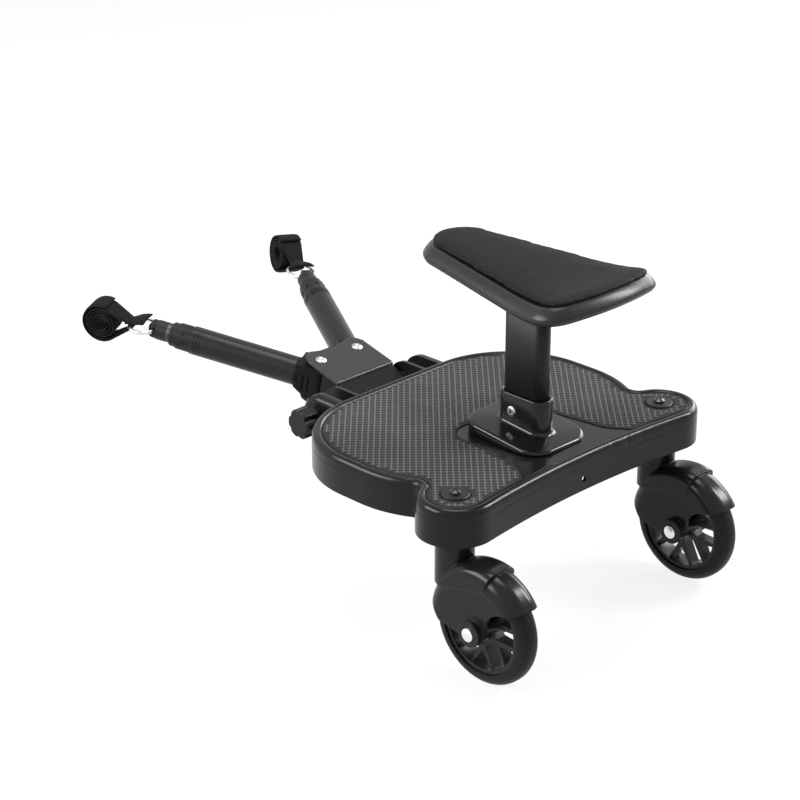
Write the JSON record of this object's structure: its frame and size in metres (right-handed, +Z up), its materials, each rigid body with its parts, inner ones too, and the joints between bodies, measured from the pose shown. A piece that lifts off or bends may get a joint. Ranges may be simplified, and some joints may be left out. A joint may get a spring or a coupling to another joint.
{
  "type": "buggy board",
  "caption": "Stroller ride-on board: moulded deck on swivel casters, saddle on a square post, and a hinged tongue with telescopic arms that end in rolled straps.",
  "frame": {"origin": "on the floor, below the middle of the whole board in plan", "axes": "+X to the rider's right, +Y forward to the stroller, +Z up"},
  "size_m": [0.365, 0.6494, 0.3539],
  "materials": {
    "deck_plastic": "satin moulded black",
    "fork_plastic": "satin moulded black",
    "grip": "square mesh, dark grey",
    "washer_plastic": "smooth black",
    "black_steel": "black oxide",
    "bright_steel": "zinc plated",
    "seat_plastic": "gloss black",
    "seat_tube": "satin black",
    "saddle_plastic": "satin black",
    "saddle_foam": "matte charcoal",
    "tongue_plastic": "moulded black",
    "cover_steel": "satin dark grey",
    "arm_tube": "satin black",
    "inner_tube": "dark anodised",
    "eye_plastic": "dark grey",
    "ring_steel": "nickel plated",
    "strap_web": "black hook and loop",
    "knob_plastic": "black",
    "tyre_rubber": "black polyurethane",
    "rim_plastic": "black nylon"
  },
  "bodies": {
    "deck": {"deck_shell": "deck_plastic", "grip_mat": "grip", "ear_discs": "washer_plastic", "kingpins": "black_steel", "kingpin_nuts": "black_steel", "swivel_washers": "washer_plastic", "hinge_rod": "black_steel", "rod_cap": "black_steel", "seat_base": "seat_plastic", "seat_base_screws": "bright_steel", "seat_clamp_screw": "bright_steel"},
    "seat": {"seat_post": "seat_tube", "saddle_shell": "saddle_plastic", "saddle_pad": "saddle_foam", "saddle_bolt": "bright_steel"},
    "tongue": {"tongue_block": "tongue_plastic", "tongue_cover": "cover_steel", "arm_rivets": "bright_steel", "tongue_bushes": "washer_plastic"},
    "knob": {"rod_knob": "knob_plastic"},
    "caster_left": {"caster_fork_left": "fork_plastic", "axle_bolt_left": "bright_steel", "axle_nut_left": "bright_steel"},
    "wheel_left": {"wheel_tyre_left": "tyre_rubber", "wheel_rim_left": "rim_plastic", "hub_bushes_left": "washer_plastic"},
    "arm_left": {"arm_knuckle_left": "tongue_plastic", "arm_tube_left": "arm_tube"},
    "collar_left": {"lock_collar_left": "tongue_plastic"},
    "slide_left": {"inner_tube_left": "inner_tube", "slide_bush_left": "washer_plastic", "end_eye_left": "eye_plastic"},
    "ring_left": {"d_ring_left": "ring_steel", "strap_left": "strap_web"},
    "caster_right": {"caster_fork_right": "fork_plastic", "axle_bolt_right": "bright_steel", "axle_nut_right": "bright_steel"},
    "wheel_right": {"wheel_tyre_right": "tyre_rubber", "wheel_rim_right": "rim_plastic", "hub_bushes_right": "washer_plastic"},
    "arm_right": {"arm_knuckle_right": "tongue_plastic", "arm_tube_right": "arm_tube"},
    "collar_right": {"lock_collar_right": "tongue_plastic"},
    "slide_right": {"inner_tube_right": "inner_tube", "slide_bush_right": "washer_plastic", "end_eye_right": "eye_plastic"},
    "ring_right": {"d_ring_right": "ring_steel", "strap_right": "strap_web"}
  },
  "joints": [
    {"name": "seat_height", "type": "slide", "parent": "deck", "child": "seat", "axis": [0, 0, 1], "range_m": [0, 0.03]},
    {"name": "tongue_tilt", "type": "hinge", "parent": "deck", "child": "tongue", "pos_m": [0, 0.02929, 0.1493], "axis": [1, 0, 0], "range_deg": [-35, 75]},
    {"name": "knob_turn", "type": "hinge", "parent": "deck", "child": "knob", "pos_m": [-0.095, 0.02929, 0.1493], "axis": [1, 0, 0], "range_deg": [-180, 180]},
    {"name": "caster_swivel_left", "type": "hinge", "parent": "deck", "child": "caster_left", "pos_m": [-0.145, -0.22571, 0.12], "axis": [0, 0, 1], "continuous": true},
    {"name": "wheel_spin_left", "type": "hinge", "parent": "caster_left", "child": "wheel_left", "pos_m": [-0.145, -0.26771, 0.057], "axis": [1, 0, 0], "continuous": true},
    {"name": "arm_swing_left", "type": "hinge", "parent": "tongue", "child": "arm_left", "pos_m": [-0.0255, 0.0846, 0.16309], "axis": [0, -0.2419, 0.9703], "range_deg": [-22, 40]},
    {"name": "collar_twist_left", "type": "hinge", "parent": "arm_left", "child": "collar_left", "pos_m": [-0.09314, 0.21943, 0.1856], "axis": [-0.4441, 0.8795, 0.1707], "range_deg": [0, 90]},
    {"name": "arm_extend_left", "type": "slide", "parent": "arm_left", "child": "slide_left", "axis": [-0.4441, 0.8795, 0.1707], "range_m": [0, 0.08]},
    {"name": "ring_swing_left", "type": "hinge", "parent": "slide_left", "child": "ring_left", "pos_m": [-0.10669, 0.24625, 0.19081], "axis": [0.8957, 0.4314, 0.1076], "range_deg": [-70, 70]},
    {"name": "caster_swivel_right", "type": "hinge", "parent": "deck", "child": "caster_right", "pos_m": [0.145, -0.22571, 0.12], "axis": [0, 0, 1], "continuous": true},
    {"name": "wheel_spin_right", "type": "hinge", "parent": "caster_right", "child": "wheel_right", "pos_m": [0.145, -0.26771, 0.057], "axis": [1, 0, 0], "continuous": true},
    {"name": "arm_swing_right", "type": "hinge", "parent": "tongue", "child": "arm_right", "pos_m": [0.0255, 0.0846, 0.16309], "axis": [0, -0.2419, 0.9703], "range_deg": [-40, 22]},
    {"name": "collar_twist_right", "type": "hinge", "parent": "arm_right", "child": "collar_right", "pos_m": [0.09314, 0.21943, 0.1856], "axis": [0.4441, 0.8795, 0.1707], "range_deg": [0, 90]},
    {"name": "arm_extend_right", "type": "slide", "parent": "arm_right", "child": "slide_right", "axis": [0.4441, 0.8795, 0.1707], "range_m": [0, 0.08]},
    {"name": "ring_swing_right", "type": "hinge", "parent": "slide_right", "child": "ring_right", "pos_m": [0.10669, 0.24625, 0.19081], "axis": [0.8957, -0.4314, -0.1076], "range_deg": [-70, 70]}
  ]
}
